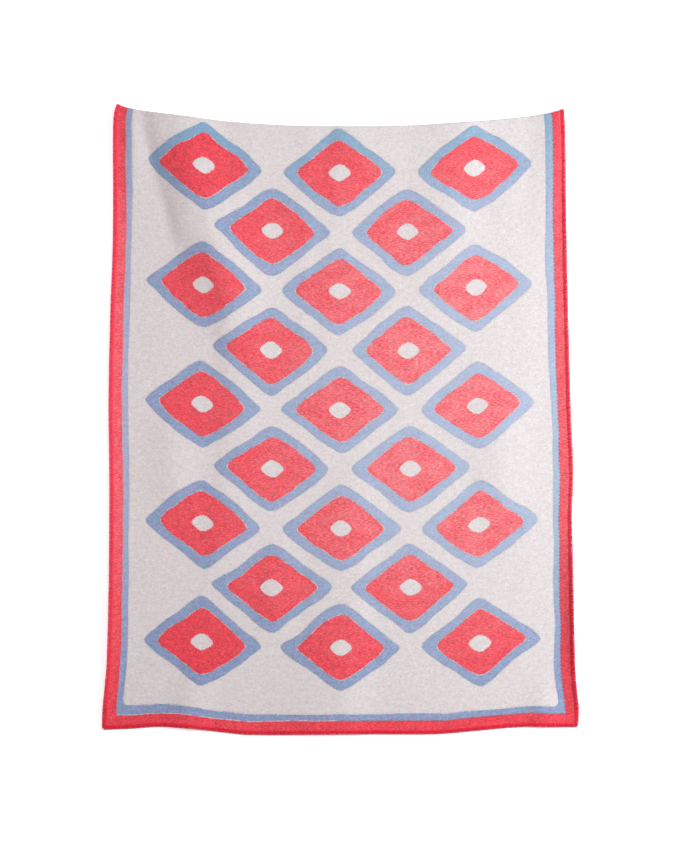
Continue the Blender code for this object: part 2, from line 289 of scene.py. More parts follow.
# Colours of the wool, in linear light
Wool = namedtuple("Wool", "main second fleck fleck_share contrast")
WHITE_WOOL = Wool((0.562, 0.528, 0.508), (0.578, 0.488, 0.518), (0.430, 0.400, 0.410), 0.22, 0.18)
RED_WOOL = Wool((0.655, 0.022, 0.050), (0.600, 0.034, 0.046), (0.760, 0.160, 0.180), 0.22, 0.46)
BLUE_WOOL = Wool((0.262, 0.198, 0.412), (0.078, 0.270, 0.358), (0.370, 0.340, 0.490), 0.24, 0.36)
HEAD_BLUE = (0.110, 0.340, 0.430)  # the blue is greener towards the head
HEAD_BLUE_SHARE = 0.36
HEAD_BLUE_RUN = 0.26
LEFT_PURPLE_AND_LIGHT = (0.500, 0.300, 0.490)  # and it is painted paler and more purple in the band up the left side: partly painted light on a band that lies in shade, partly a hue of its own
LEFT_PURPLE_AND_LIGHT_SHARE = Slope(0.20, 0.80, 0.0, 0.19)

# A pale veil of painted glare, strongest at the middle right where the light is brightest: colour, share,
# how streaky it is, and how alike it is from side to side
GlareVeil = namedtuple("GlareVeil", "bloom share streaks even")
RED_GLARE = GlareVeil((0.820, 0.600, 0.600), 0.20, 0.8, 0.0)
RED_BAND_GLARE = GlareVeil((0.900, 0.600, 0.600), 0.10, 0.8, 1.0)
BLUE_GLARE = GlareVeil((0.570, 0.600, 0.650), 0.36, 0.25, 0.0)
BLUE_BAND_GLARE = GlareVeil((0.540, 0.585, 0.600), 0.35, 0.25, 0.55)
GLARE_ACROSS = Slope(0.06, 1.00, 0.22, 0.95)
GLARE_MIDDLE = 0.95  # along the cut
GLARE_ALONG = Slope(0.25, 0.95, 1.0, 0.20)
GLARE_FINE = Slope(0.42, 0.66, -0.55, 1.0)
GLARE_COARSE = Slope(0.35, 0.65, -0.25, 0.25)

# The overlock's yarn. Where its colours go over into one another is given in the frame of the solids.
# up the right side, where its rim catches the light, the yarn is painted darker than up the left
YARN_RED = (0.750, 0.014, 0.050)
# the yarn's painted shade, in the groove between its plies and low down the sides, shared with darker dye
# tones
YARN_SHADE_AND_DARK_DYE = (0.160, 0.001, 0.008)
LEFT_YARN_PAINTED_LIGHT_RED = (0.970, 0.042, 0.105)  # painted light: the yarn is painted paler towards the left side, where its rim lies in shade
LEFT_YARN_SHADE_AND_DARK_DYE = (0.450, 0.010, 0.022)
HEM_YARN_RED = (0.870, 0.018, 0.058)
YARN_SIDES = (-0.60, 0.60)  # across, where the left side's colour goes over into the right's
YARN_HEM = Slope(-0.80, -0.76, 1.0, 0.0)
YARN_LOW_SHADE = Slope(-0.32, -0.16, 0.82, 1.0)  # painted shade: it is darker low down both sides
YARN_DYE_TONES = Slope(0.3, 0.7, 0.78, 1.0)
YARN_LIT = (0.15, 0.95)
YARN_TWIST = 0.0042  # length of one turn of its plies
YARN_RELIEF = 0.0005
YARN_RELIEF_STRENGTH = 0.8
FIBRE_LIT = 0.5  # weight of the fibres beside the plies, in the tones
FIBRE_RELIEF = 0.6  # and in the relief

# Finish of every wool
CLOTH_SHEEN = 0.22
YARN_SHEEN = 0.05
SHEEN_ROUGHNESS = 0.55
SHEEN_TINT = (1.0, 0.95, 0.93)
WOOL_ROUGHNESS = 0.93
WOOL_SHINE = 0.12

# The photograph's frame and where it lies on the cloth's plan
PHOTO_WIDTH = 690
PHOTO_HEIGHT = 864
METRES_A_PIXEL = 0.00272
PLAN_ORIGIN_PIXEL = (340.0, 734.7)  # the plan's zero: the middle of the hem at its lowest point
LENS = 85.0
SENSOR = 36.0

# The studio
Lamp = namedtuple("Lamp", "name place size power colour")
LAMPS = (
    Lamp("key", (3.32, 0.43, 1.92), 1.4, 207.0, (0.94, 1.0, 1.02)),
    Lamp("fill", (-3.4, 0.10, 3.8), 3.4, 80.0, (1.0, 0.86, 0.86)),
    Lamp("top", (0.0, 0.40, 3.2), 2.6, 44.5, (0.96, 1.0, 0.98)),
)
WORLD_COLOUR = (0.95, 0.96, 0.97)
WORLD_LIGHT = 0.26
FLOOR_SIZE = 40.0
FLOOR_DROP = 0.0006
FLOOR_COLOUR = (0.95, 0.95, 0.95)
FLOOR_ROUGHNESS = 0.9
FLOOR_GLOW = 0.26  # the floor is lit through a little, as a white sweep is


def ease(share):
    """Goes from 0 to 1 and is level at both ends."""
    share = np.clip(share, 0.0, 1.0)
    return share * share * (3 - 2 * share)


def crowd(share, crowding):
    """Moves evenly spaced shares towards 0 and 1."""
    return share - crowding * np.sin(2 * np.pi * share) / (2 * np.pi)


def smooth_between(places, values, place):
    """Reads a table of places and values at many places, on a smooth curve through its rows."""
    places = np.array(places)
    values = np.array(values)
    before = np.maximum(np.arange(len(places)) - 1, 0)
    after = np.minimum(np.arange(len(places)) + 1, len(places) - 1)
    slopes = (values[after] - values[before]) / (places[after] - places[before])
    row = np.clip(np.searchsorted(places, place, side="right") - 1, 0, len(places) - 2)
    gap = places[row + 1] - places[row]
    share = np.clip((place - places[row]) / gap, 0.0, 1.0)
    start_pull = slopes[row] * gap
    end_pull = slopes[row + 1] * gap
    rise = values[row + 1] - values[row]
    return values[row] + share * (start_pull + share * (
        3 * rise - 2 * start_pull - end_pull + share * (start_pull + end_pull - 2 * rise)))


def plan_place(across, run):
    """Where points of the face lie on the plan: run is 0 at the hem and 1 at the fold."""
    hem = smooth_between(HEM_SHARES, HEM_HEIGHTS, across) + EDGE_INSET
    head = smooth_between(HEAD_SHARES, HEAD_HEIGHTS, across) - FOLD_REACH
    y = hem + (head - hem) * run
    left = smooth_between(SIDE_HEIGHTS, LEFT_SIDE, y) + EDGE_INSET
    right = smooth_between(SIDE_HEIGHTS, RIGHT_SIDE, y) - EDGE_INSET
    return left + (right - left) * across, y


def ridge(start, end, x, y):
    """The lift that the stretch of a fold between two of its bends gives at many places."""
    run_x = end.x - start.x
    run_y = end.y - start.y
    reach_x = x - start.x
    reach_y = y - start.y
    share = np.clip((reach_x * run_x + reach_y * run_y) / (run_x ** 2 + run_y ** 2), 0.0, 1.0)
    away_x = reach_x - run_x * share
    away = np.hypot(away_x, reach_y - run_y * share)
    side = away_x / np.maximum(away, 1e-9)
    to_left = start.to_left + (end.to_left - start.to_left) * share
    to_right = start.to_right + (end.to_right - start.to_right) * share
    flank = (to_left + to_right) / 2 + side * (to_right - to_left) / 2
    lift = start.lift + (end.lift - start.lift) * share
    return lift * np.cos(np.minimum(away / flank, 1.0) * np.pi / 2) ** 2


def ridges(folds, x, y):
    """The lift that all the folds of a table give together."""
    lift = 0.0
    for _, bends in folds:
        height = 0.0
        for start, end in zip(bends, bends[1:]):
            height = np.maximum(height, ridge(start, end, x, y))
        lift = lift + height
    return lift


def fold_lift(x, y):
    """How far the folds and the creases hold the cloth off the surface."""
    return ridges(FOLDS, x, y) + ridges(CREASES, x, y)


def cockle_lift(across, along):
    """The small unevenness of washed wool, never below the surface."""
    lift = np.zeros(across.size)
    for size, height in COCKLES:
        for index, (s, t) in enumerate(zip(across.ravel(), along.ravel())):
            wave = noise.noise(Vector((s / size, t / size, size * 100)))
            lift[index] += height * (1 + wave) / 2
    return lift.reshape(across.shape)


def edge_lift(across, along):
    """How far the yarn under the edges holds the cloth up."""
    inwards = np.minimum(np.minimum(across, CUT_WIDTH - across), np.minimum(along, CUT_LENGTH - along))
    return EDGE_LIFT * (1 - ease((inwards - STITCH_REACH) / EDGE_LIFT_RUN))


def laid_place(across, along, uneven=False):
    """Where points of the cut lie, at the middle of the cloth's thickness. Both are in metres on the cut."""
    share = across / CUT_WIDTH
    shown = np.minimum(along, SHOWN_LENGTH)
    run = shown / SHOWN_LENGTH
    x, y = plan_place(share, run)
    turn = (np.clip(along, SHOWN_LENGTH, FOLD_END) - SHOWN_LENGTH) / FOLD_RADIUS
    tucked = np.maximum(along - FOLD_END, 0.0)
    y = y - tucked
    ramp = ease((FLAP_DEPTH + STEP_RAMP - (SHOWN_LENGTH - shown)) / STEP_RAMP)
    step = np.where(along <= SHOWN_LENGTH, 2 * FOLD_RADIUS * ramp, FOLD_RADIUS * (1 + np.cos(turn)))
    z = CLOTH / 2 + step + fold_lift(x, y) + edge_lift(across, along)
    if uneven:
        z = z + cockle_lift(across, along)
    return np.stack((x, y + FOLD_RADIUS * np.sin(turn), z), axis=-1)


def plan_middle():
    """The middle of the outline on the plan, which lies over the origin."""
    share = np.linspace(0, 1, OUTLINE_SAMPLES)
    start = np.zeros_like(share)
    end = np.ones_like(share)
    low_y = plan_place(share, start)[1].min() - EDGE_INSET
    high_y = plan_place(share, end)[1].max() + FOLD_REACH
    left_x = plan_place(start, share)[0].min()
    right_x = plan_place(end, share)[0].max()
    return np.array(((left_x + right_x) / 2, (low_y + high_y) / 2, 0.0))


MIDDLE = plan_middle()


def spread(across, along, uneven=False):
    """Where points of the cut lie in the frame of the solids."""
    return laid_place(across, along, uneven) - MIDDLE


def unit(vectors):
    """Vectors of length 1."""
    return vectors / np.maximum(np.linalg.norm(vectors, axis=-1, keepdims=True), 1e-12)


def face_normal(across, along):
    """The way out of the face of the cloth."""
    right = spread(across + FACE_STEP, along) - spread(across - FACE_STEP, along)
    up = spread(across, along + FACE_STEP) - spread(across, along - FACE_STEP)
    return unit(np.cross(right, up))


def make_mesh(name, points, quads, uv_name, uvs, materials):
    """A mesh object of quads, with one row of uvs for each corner of each quad."""
    mesh = bpy.data.meshes.new(name)
    mesh.vertices.add(len(points))
    mesh.vertices.foreach_set("co", np.asarray(points, np.float32).ravel())
    mesh.loops.add(quads.size)
    mesh.loops.foreach_set("vertex_index", quads.astype(np.int32).ravel())
    mesh.polygons.add(len(quads))
    mesh.polygons.foreach_set("loop_start", np.arange(0, quads.size, quads.shape[1], dtype=np.int32))
    mesh.update(calc_edges=True)
    layer = mesh.uv_layers.new(name=uv_name)
    layer.data.foreach_set("uv", np.asarray(uvs, np.float32).ravel())
    mesh.validate()
    mesh.shade_smooth()
    for material in materials:
        mesh.materials.append(material)
    piece = bpy.data.objects.new(name, mesh)
    bpy.context.scene.collection.objects.link(piece)
    return piece


def row_lengths():
    """How far from the hem each row of the grid is on the cut."""
    shown = crowd(np.linspace(0, 1, SHOWN_ROWS + 1), CROWDING) * SHOWN_LENGTH
    fold = np.linspace(SHOWN_LENGTH, FOLD_END, FOLD_ROWS + 1)[1:]
    flap = np.linspace(FOLD_END, CUT_LENGTH, FLAP_ROWS + 1)[1:]
    return np.concatenate((shown, fold, flap))


def cloth_sheet(face, back):
    """The woven panel on its folds."""
    columns = crowd(np.linspace(0, 1, COLUMNS + 1), CROWDING) * CUT_WIDTH
    rows = row_lengths()
    across, along = np.meshgrid(columns, rows)
    points = spread(across, along, uneven=True).reshape(-1, 3)
    width = len(columns)
    corner = (np.arange(len(rows) - 1)[:, None] * width + np.arange(width - 1)[None, :]).ravel()
    quads = np.stack((corner, corner + 1, corner + width + 1, corner + width), axis=1)
    cut = np.stack((across.ravel(), along.ravel()), axis=1)
    piece = make_mesh("woven_wool_panel", points, quads, "cut_metres", cut[quads.ravel()], (face, back))
    thicken = piece.modifiers.new("cloth thickness", "SOLIDIFY")
    thicken.thickness = CLOTH
    thicken.offset = 0
    thicken.material_offset = 1
    return piece


def yarn_tubes(centres, wide, thick, half_width, half_thickness, sides):
    """Points, quads and uvs of many flattened tubes: centres, wide and thick are tube by ring by 3."""
    tubes, rings, _ = centres.shape
    angle = np.arange(sides) * 2 * np.pi / sides
    out = (centres[:, :, None, :]
           + wide[:, :, None, :] * (np.cos(angle) * half_width[..., None])[..., None]
           + thick[:, :, None, :] * (np.sin(angle) * half_thickness[..., None])[..., None])
    points = out.reshape(-1, 3)
    tube = np.arange(tubes)[:, None, None]
    ring = np.arange(rings - 1)[None, :, None]
    side = np.arange(sides)[None, None, :]
    first = (tube * rings + ring) * sides
    after = (side + 1) % sides
    quads = np.stack((first + side, first + after, first + sides + after, first + sides + side), axis=-1)
    length = np.concatenate((np.zeros((tubes, 1)), np.cumsum(
        np.linalg.norm(np.diff(centres, axis=1), axis=-1), axis=1)), axis=1)
    low = np.broadcast_to(length[:, :-1, None], quads.shape[:3])
    high = np.broadcast_to(length[:, 1:, None], quads.shape[:3])
    start = np.broadcast_to(side / sides, quads.shape[:3])
    end = start + 1 / sides
    uvs = np.stack((low, start, low, end, high, end, high, start), axis=-1)
    return points, quads.reshape(-1, 4), uvs.reshape(-1, 2)


def join_tubes(parts):
    """Several sets of tubes as one."""
    counts = np.cumsum([0] + [len(points) for points, _, _ in parts])
    points, quads, uvs = zip(*parts)
    moved = [part + count for part, count in zip(quads, counts)]
    return np.concatenate(points), np.concatenate(moved), np.concatenate(uvs)


# The four runs of stitches: name, length, and where a place on the run lies on the cut
Run = namedtuple("Run", "name length start_across start_along step_across step_along in_across in_along")
RUNS = (
    Run("overlock_left", CUT_LENGTH, 0.0, 0.0, 0, 1, 1, 0),
    Run("overlock_right", CUT_LENGTH, CUT_WIDTH, 0.0, 0, 1, -1, 0),
    Run("overlock_hem", CUT_WIDTH, 0.0, 0.0, 1, 0, 0, 1),
    Run("overlock_head", CUT_WIDTH, 0.0, CUT_LENGTH, 1, 0, 0, -1),
)


def stitch_frames(run, places):
    """For places along a run: the cut edge, and the ways along the edge, inwards and out of the face."""
    across = run.start_across + run.step_across * places
    along = run.start_along + run.step_along * places
    edge = spread(across, along)
    ahead, behind = (spread(np.clip(across + run.step_across * step, 0, CUT_WIDTH),
                            np.clip(along + run.step_along * step, 0, CUT_LENGTH))
                     for step in (EDGE_STEP, -EDGE_STEP))
    inner = spread(across + run.in_across * STITCH_REACH, along + run.in_along * STITCH_REACH)
    forward = unit(ahead - behind)
    inwards = unit(inner - edge)
    hand = run.step_across * run.in_along - run.step_along * run.in_across
    out = unit(np.cross(forward, inwards)) * hand
    return edge, forward, inwards, out


def over_edge_path():
    """One stitch seen along the edge: inwards of the cut edge and above the cloth's middle, in turn."""
    top = CLOTH / 2 + YARN_HALF_THICKNESS
    face = [(STITCH_REACH, CLOTH / 2 - STITCH_DIP), (STITCH_REACH - STITCH_DIP, top - STITCH_DIP / 2)]
    face += [(STITCH_REACH * share, top + rise) for share, rise in STITCH_CROWN]
    angles = np.linspace(RIM_START, math.pi - RIM_START, RIM_RINGS)
    turn = [(-top * math.sin(angle), top * math.cos(angle)) for angle in angles]
    back = [(inwards, -up) for inwards, up in reversed(face)]
    return np.array(face + turn + back)


def overlock(run, yarn, seed):
    """Yarn stitches over one edge, with the needle thread along their inner ends and the purl on the rim."""
    chance = np.random.default_rng(seed)
    count = int(run.length / STITCH_PITCH)
    edge, forward, inwards, out = stitch_frames(run, (np.arange(count) + 0.5) * run.length / count)

    def off_edge(inside, above, ahead):
        """Points by stitch and ring, from how far inwards, above and ahead of their stitch they lie."""
        return (edge[:, None, :] + inwards[:, None, :] * inside[..., None]
                + out[:, None, :] * above[..., None] + forward[:, None, :] * ahead[..., None])

    def across_tube(centres, way):
        """The wide way of tubes, and the thick way square to it."""
        wide = np.broadcast_to(way[:, None, :], centres.shape)
        return wide, unit(np.cross(wide, np.gradient(centres, axis=1)))

    # stitches over the edge
    path = over_edge_path()
    rings = len(path)
    reach = 1 + chance.uniform(*REACH_STRAY, count)
    slant = STITCH_SLANT + chance.uniform(-SLANT_STRAY, SLANT_STRAY, count)
    sway = chance.uniform(-SWAY_STRAY, SWAY_STRAY, count)
    inside = np.where(path[:, 0] > 0, path[:, 0] * reach[:, None], path[:, 0])
    centres = off_edge(inside, path[:, 1], sway[:, None] + slant[:, None] * (1 - inside / STITCH_REACH))
    _, thick = across_tube(centres, forward)
    wide = unit(np.cross(np.gradient(centres, axis=1), thick))
    stations = (0, 1, 2.5, rings - 3.5, rings - 2, rings - 1)
    taper = np.interp(np.arange(rings), stations, YARN_TAPER + YARN_TAPER[::-1])
    plump = 1 + chance.uniform(*PLUMP_STRAY, count)
    half_width = YARN_HALF_WIDTH * plump[:, None] * taper
    half_thickness = YARN_HALF_THICKNESS * np.broadcast_to(taper, half_width.shape)
    stitches = yarn_tubes(centres, wide, thick, half_width, half_thickness, STITCH_SIDES)

    # needle thread, one small arch from each stitch to the next
    share = np.linspace(0, 1, ARCH_RINGS)
    arch = np.sin(np.pi * share)
    centres = off_edge(STITCH_REACH * reach[:, None] + NEEDLE_INSET,
                       CLOTH / 2 - NEEDLE_SINK + NEEDLE_RISE * arch, (share - 0.5) * STITCH_PITCH)
    radius = np.full(centres.shape[:2], NEEDLE_THREAD)
    needle = yarn_tubes(centres, *across_tube(centres, inwards), radius, radius, NEEDLE_SIDES)

    # purl, a short twist of the lower thread round each stitch on the rim
    rise = chance.uniform(-PURL_STRAY, PURL_STRAY, count)
    centres = off_edge(-PURL_OUT - PURL_BOW * arch, PURL_SWING * np.cos(np.pi * share) + rise[:, None],
                       (share - 0.5) * PURL_LENGTH)
    radius = np.broadcast_to(PURL * (PURL_THIN + (1 - PURL_THIN) * arch), centres.shape[:2])
    purl = yarn_tubes(centres, *across_tube(centres, out), radius, radius * PURL_FLAT, PURL_SIDES)

    points, quads, uvs = join_tubes((stitches, needle, purl))
    return make_mesh(run.name, points, quads, "yarn_run", uvs, (yarn,))


def nap(face):
    """Short loose wool ends on the face and over the fold, each a thin closed spike."""
    chance = np.random.default_rng(NAP_SEED)
    across = chance.uniform(NAP_MARGIN, CUT_WIDTH - NAP_MARGIN, NAP_COUNT)
    along = chance.uniform(NAP_MARGIN, NAP_END, NAP_COUNT)
    root = spread(across, along)
    out = face_normal(across, along)
    root = root + out * (CLOTH / 2 - NAP_ROOT_DEPTH)
    across_way = unit(spread(across + NAP_STEP, along) - spread(across - NAP_STEP, along))
    along_way = np.cross(out, across_way)
    heading = chance.normal(-math.pi / 2, NAP_SPREAD, NAP_COUNT)
    lean = np.radians(chance.uniform(*NAP_LEAN, NAP_COUNT))
    flat_way = across_way * np.cos(heading)[:, None] + along_way * np.sin(heading)[:, None]
    side_way = np.cross(out, flat_way)
    length = chance.uniform(*NAP_LENGTH, NAP_COUNT)
    way = flat_way * np.cos(lean)[:, None] + out * np.sin(lean)[:, None]
    half = chance.uniform(*NAP_HALF_WIDTH, NAP_COUNT)[:, None]
    sweep = length * chance.uniform(-NAP_SWEEP, NAP_SWEEP, NAP_COUNT)
    tip = root + way * length[:, None] + side_way * sweep[:, None]
    left = root + side_way * half
    right = root - side_way * half
    under = root + out * half * NAP_BELLY
    points = np.stack((left, right, under, tip), axis=1).reshape(-1, 3)
    corners = np.array(((0, 2, 1), (0, 1, 3), (1, 2, 3), (2, 0, 3)))
    triangles = (np.arange(NAP_COUNT)[:, None, None] * 4 + corners[None, :, :]).reshape(-1, 3)
    cut = np.repeat(np.stack((across, along), axis=1), corners.size, axis=0)
    return make_mesh("wool_nap", points, triangles, "cut_metres", cut, (face,))


# Shader nodes. A Value stands for a socket in a tree, so that sums over the surface are written plainly.
FLOAT, VECTOR, COLOUR = "NodeSocketFloat", "NodeSocketVector", "NodeSocketColor"


class Value:
    """A number, a place or a colour at each point of the surface."""

    def __init__(self, tree, socket):
        self.tree = tree
        self.socket = socket

    def __add__(self, other):
        return sum_of("ADD", self, other)

    def __sub__(self, other):
        return sum_of("SUBTRACT", self, other)

    def __rsub__(self, other):
        return sum_of("SUBTRACT", other, self)

    def __mul__(self, other):
        return sum_of("MULTIPLY", self, other)

    def __truediv__(self, other):
        return sum_of("DIVIDE", self, other)

    def __rtruediv__(self, other):
        return sum_of("DIVIDE", other, self)

    def __lt__(self, other):
        return sum_of("LESS_THAN", self, other)

    def __gt__(self, other):
        return sum_of("GREATER_THAN", self, other)

    def __abs__(self):
        return sum_of("ABSOLUTE", self)


def feed(tree, socket, source):
    """Links a value to a socket, or sets the socket to a number, a place or a colour."""
    if isinstance(source, Value):
        tree.links.new(source.socket, socket)
    elif socket.type == "RGBA":
        socket.default_value = (*source, 1.0)
    else:
        socket.default_value = source


def add_node(tree, kind, output, inputs=(), **settings):
    """A new node: its settings, its inputs fed in turn or by name, and one of its outputs as a value."""
    node = tree.nodes.new(kind)
    for name, setting in settings.items():
        setattr(node, name, setting)
    for key, source in inputs.items() if isinstance(inputs, dict) else enumerate(inputs):
        feed(tree, node.inputs[key], source)
    return Value(tree, node.outputs[output])


def sum_of(operation, *sources):
    """A math node's result."""
    tree = next(source.tree for source in sources if isinstance(source, Value))
    return add_node(tree, "ShaderNodeMath", 0, sources, operation=operation)


def least(first, second):
    """The smaller of two values."""
    return sum_of("MINIMUM", first, second)


def most(first, second):
    """The larger of two values."""
    return sum_of("MAXIMUM", first, second)


def vector_sum(operation, first, second):
    """A vector math node's result."""
    return add_node(first.tree, "ShaderNodeVectorMath", "Vector", (first, second), operation=operation)


def scaled(vector, factor):
    """A place or a colour times a number."""
    return add_node(vector.tree, "ShaderNodeVectorMath", "Vector", {0: vector, "Scale": factor},
                    operation="SCALE")


def soft_step(value, low, high, start=0.0, end=1.0):
    """Start below low, end above high, and a smooth way between."""
    sources = {"Value": value, "From Min": low, "From Max": high, "To Min": start, "To Max": end}
    return add_node(value.tree, "ShaderNodeMapRange", "Result", sources, interpolation_type="SMOOTHSTEP")


def mix_colours(share, first, second):
    """Two colours mixed by a share of the second. The node's colours are inputs 6 and 7 and output 2."""
    return add_node(share.tree, "ShaderNodeMix", 2, {"Factor": share, 6: first, 7: second}, data_type="RGBA")


def cloud(place, waves, output="Fac"):
    """A noise texture's value, from 0 to 1, with its own number of waves each way."""
    stretched = vector_sum("MULTIPLY", place, (waves.across, waves.along, waves.along))
    sources = {"Vector": stretched, "Scale": 1.0, "Detail": waves.detail, "Roughness": waves.roughness}
    return add_node(place.tree, "ShaderNodeTexNoise", output, sources)


def split_place(place):
    """The across and along of a place."""
    across = add_node(place.tree, "ShaderNodeSeparateXYZ", "X", (place,))
    return across, Value(place.tree, across.socket.node.outputs["Y"])


def label(word):
    """The name of a socket, from a word in the code."""
    return word.replace("_", " ").title()


def new_group(name, outputs, **inputs):
    """An empty shader node group with named sockets: itself, its inputs, and a way to feed its outputs."""
    group = bpy.data.node_groups.new(name, "ShaderNodeTree")
    for word, given in inputs.items():
        kind = given if isinstance(given, str) else FLOAT
        socket = group.interface.new_socket(name=label(word), in_out="INPUT", socket_type=kind)
        if kind == FLOAT:
            socket.default_value = given
    for word, kind in outputs.items():
        group.interface.new_socket(name=label(word), in_out="OUTPUT", socket_type=kind)
    start = group.nodes.new("NodeGroupInput").outputs
    end = group.nodes.new("NodeGroupOutput").inputs

    def give(**sources):
        for word, source in sources.items():
            feed(group, end[label(word)], source)

    return group, SimpleNamespace(**{word: Value(group, start[label(word)]) for word in inputs}), give


def use_group(group, place, **sources):
    """Places a group in the tree of a place, feeds its inputs, and gives its outputs."""
    node = place.tree.nodes.new("ShaderNodeGroup")
    node.node_tree = group
    for word, source in {"place": place, **sources}.items():
        feed(place.tree, node.inputs[label(word)], source)
    return SimpleNamespace(**{socket.name.lower(): Value(place.tree, socket) for socket in node.outputs})


def woven_steps_group():
    """Sways a place on the cut a little, and moves it to the middle of its thread crossing."""
    group, given, give = new_group(
        "woven_steps", {"place": VECTOR},
        place=VECTOR, step=WEAVE_STEP, sway=SWAY, sway_size=SWAY_SIZE, fray=FRAY)

    def stray(place, waves, reach):
        """A random way off on the cut."""
        drift = vector_sum("SUBTRACT", cloud(place, waves, "Color"), (0.5, 0.5, 0.5))
        return scaled(vector_sum("MULTIPLY", drift, (1.0, 1.0, 0.0)), reach)

    sway = stray(scaled(given.place, 1.0 / given.sway_size), SWAYS, given.sway * 2.0)
    step = add_node(group, "ShaderNodeCombineXYZ", "Vector", (given.step, given.step, given.step))
    snapped = vector_sum("SNAP", vector_sum("ADD", given.place, sway), step)
    crossing = vector_sum("ADD", snapped, vector_sum("MULTIPLY", step, (0.5, 0.5, 0.0)))
    give(place=vector_sum("ADD", crossing, stray(given.place, FRAYS, given.fray * 4.0)))
    return group


def border_bands_group():
    """Masks of the bands woven round the cut, of the ditches beside them, and of painted shadow notches at
    the turns of the weft.
    """
    group, given, give = new_group(
        "border_bands", dict.fromkeys(("red", "blue", "band", "ditch", "turns"), FLOAT),
        place=VECTOR, red_band=RED_BAND, pale_line=PALE_LINE, line_share=1.0, blue_band=BLUE_BAND,
        corner=BLUE_CORNER)
    across, along = split_place(given.place)
    side = least(across, CUT_WIDTH - across)
    end = least(along, CUT_LENGTH - along)
    inwards = least(side, end)
    line = given.pale_line * ((end < side) * given.line_share)
    swell = (cloud(given.place, BAND_WAVES) - 0.5) * (2 * BLUE_SWELL) + 1.0
    blue_end = given.blue_band * swell + given.red_band
    side_extra = soft_step(across, *BLUE_SIDES, BLUE_LEFT, soft_step(along, *BLUE_RIGHT))
    hem_extra = soft_step(across, *BLUE_HEM)
    rounded = sum_of("SMOOTH_MIN", side - side_extra, end - hem_extra, given.corner)
    band = rounded < blue_end
    from_red = abs(inwards - given.red_band)
    from_blue = abs(rounded - blue_end)
    # painted shadow notches, only at the right, where the light grazes the band's step
    notch = sum_of("SINE", along * (2 * math.pi / TURN_PITCH)) > TURN_LEVEL
    at_right = (from_red < TURN_DEPTH) * (across > CUT_WIDTH / 2)
    give(red=inwards < given.red_band, blue=band * (inwards > given.red_band + line), band=band,
         ditch=soft_step(least(from_red, from_blue), *BAND_DITCH), turns=notch * at_right)
    return group


def lozenge_measure(across, along, shift_across, shift_along):
    """How far out a place lies in the nearest lozenge of one lattice: 0 at its middle and 1 on its rim."""

    def aside(value, pitch, shift, half):
        share = sum_of("PINGPONG", value + shift, pitch / 2) / half
        blunt = sum_of("SQRT", share * share + LOZENGE_TIP ** 2) - LOZENGE_TIP
        return blunt / (math.hypot(1.0, LOZENGE_TIP) - LOZENGE_TIP)

    return (aside(across, LOZENGE_PITCH_ACROSS, shift_across, LOZENGE_HALF_ACROSS)
            + aside(along, LOZENGE_PITCH_ALONG, shift_along, LOZENGE_HALF_ALONG))


def lozenge_rows_group():
    """Masks of the staggered lozenges: their uneven blue rings, and their red cores round pale hearts."""
    group, given, give = new_group(
        "lozenge_rows", dict.fromkeys(("ring", "core", "ditch"), FLOAT),
        place=VECTOR, ring=LOZENGE_RING, pale_line=LOZENGE_PALE_LINE, line_share=1.0, heart=LOZENGE_HEART,
        wobble=LOZENGE_WOBBLE)
    across, along = split_place(given.place)
    from_middle = across - CUT_WIDTH / 2
    from_centre = along - CUT_LENGTH / 2
    threes = lozenge_measure(from_middle, from_centre, 0.0, 0.0)
    twos = lozenge_measure(from_middle, from_centre, LOZENGE_PITCH_ACROSS / 2, LOZENGE_PITCH_ALONG / 2)
    beyond = (abs(from_middle) > TWOS_REACH_ACROSS) + (abs(from_centre) > TWOS_REACH_ALONG)
    uneven = (cloud(given.place, RIM_WAVES) - 0.5) * given.wobble + 1.0
    out = least(threes, beyond * OUT_OF_REACH + twos) * uneven
    swell = cloud(given.place, RING_WAVES) * LOZENGE_SWELL[1] + LOZENGE_SWELL[0]
    ring_end = 1.0 - given.ring * swell
    core_start = ring_end - given.pale_line * given.line_share
    give(ring=(out < 1.0) * (out > ring_end), core=(out < core_start) * (out > given.heart),
         ditch=soft_step(least(abs(out - 1.0), abs(out - ring_end)), *LOZENGE_DITCH))
    return group


def wool_marl_group():
    """Wool of mixed fibres: two dyes in clouds, paler flecks, and lighter and darker threads."""
    group, given, give = new_group(
        "wool_marl", {"colour": COLOUR},
        place=VECTOR, main=COLOUR, second=COLOUR, fleck=COLOUR, fleck_share=0.2, contrast=0.2)
    blend = soft_step(cloud(given.place, DYES), *DYE_EDGES)
    colour = mix_colours(blend, given.main, given.second)
    limit = FLECK_LIMIT - given.fleck_share * FLECK_PULL
    flecked = soft_step(cloud(given.place, FLECKS), limit, limit + FLECK_SOFTNESS, 0.0, FLECK_COVER)
    colour = mix_colours(flecked, colour, given.fleck)
    crossing = vector_sum("SNAP", given.place, THREAD_CELL)
    threads = add_node(group, "ShaderNodeTexWhiteNoise", "Value", {"Vector": crossing}, noise_dimensions="3D")
    tone = (threads + cloud(given.place, PATCHES) * PATCH_WEIGHT - TONE_MIDDLE) * given.contrast + 1.0
    give(colour=scaled(colour, tone))
    return group


def painted_glare_group():
    """Painted glare: a pale veil in short streaks along the weft, strongest at the middle right where the
    light is.
    """
    group, given, give = new_group(
        "painted_glare_veil", {"colour": COLOUR},
        place=VECTOR, wool=COLOUR, bloom=COLOUR, share=0.1, streaks=1.0, even=0.0)
    across, along = split_place(given.place)
    to_right = soft_step(across, *GLARE_ACROSS)
    to_right = (1.0 - to_right) * given.even + to_right
    to_middle = soft_step(abs(along - GLARE_MIDDLE), *GLARE_ALONG)
    uneven = (soft_step(cloud(given.place, FINE_GLARE_WAVES), *GLARE_FINE)
              + soft_step(cloud(given.place, COARSE_GLARE_WAVES), *GLARE_COARSE))
    share = given.share * (to_right * to_middle * (uneven * given.streaks + 1.0))
    give(colour=mix_colours(share, given.wool, given.bloom))
    return group


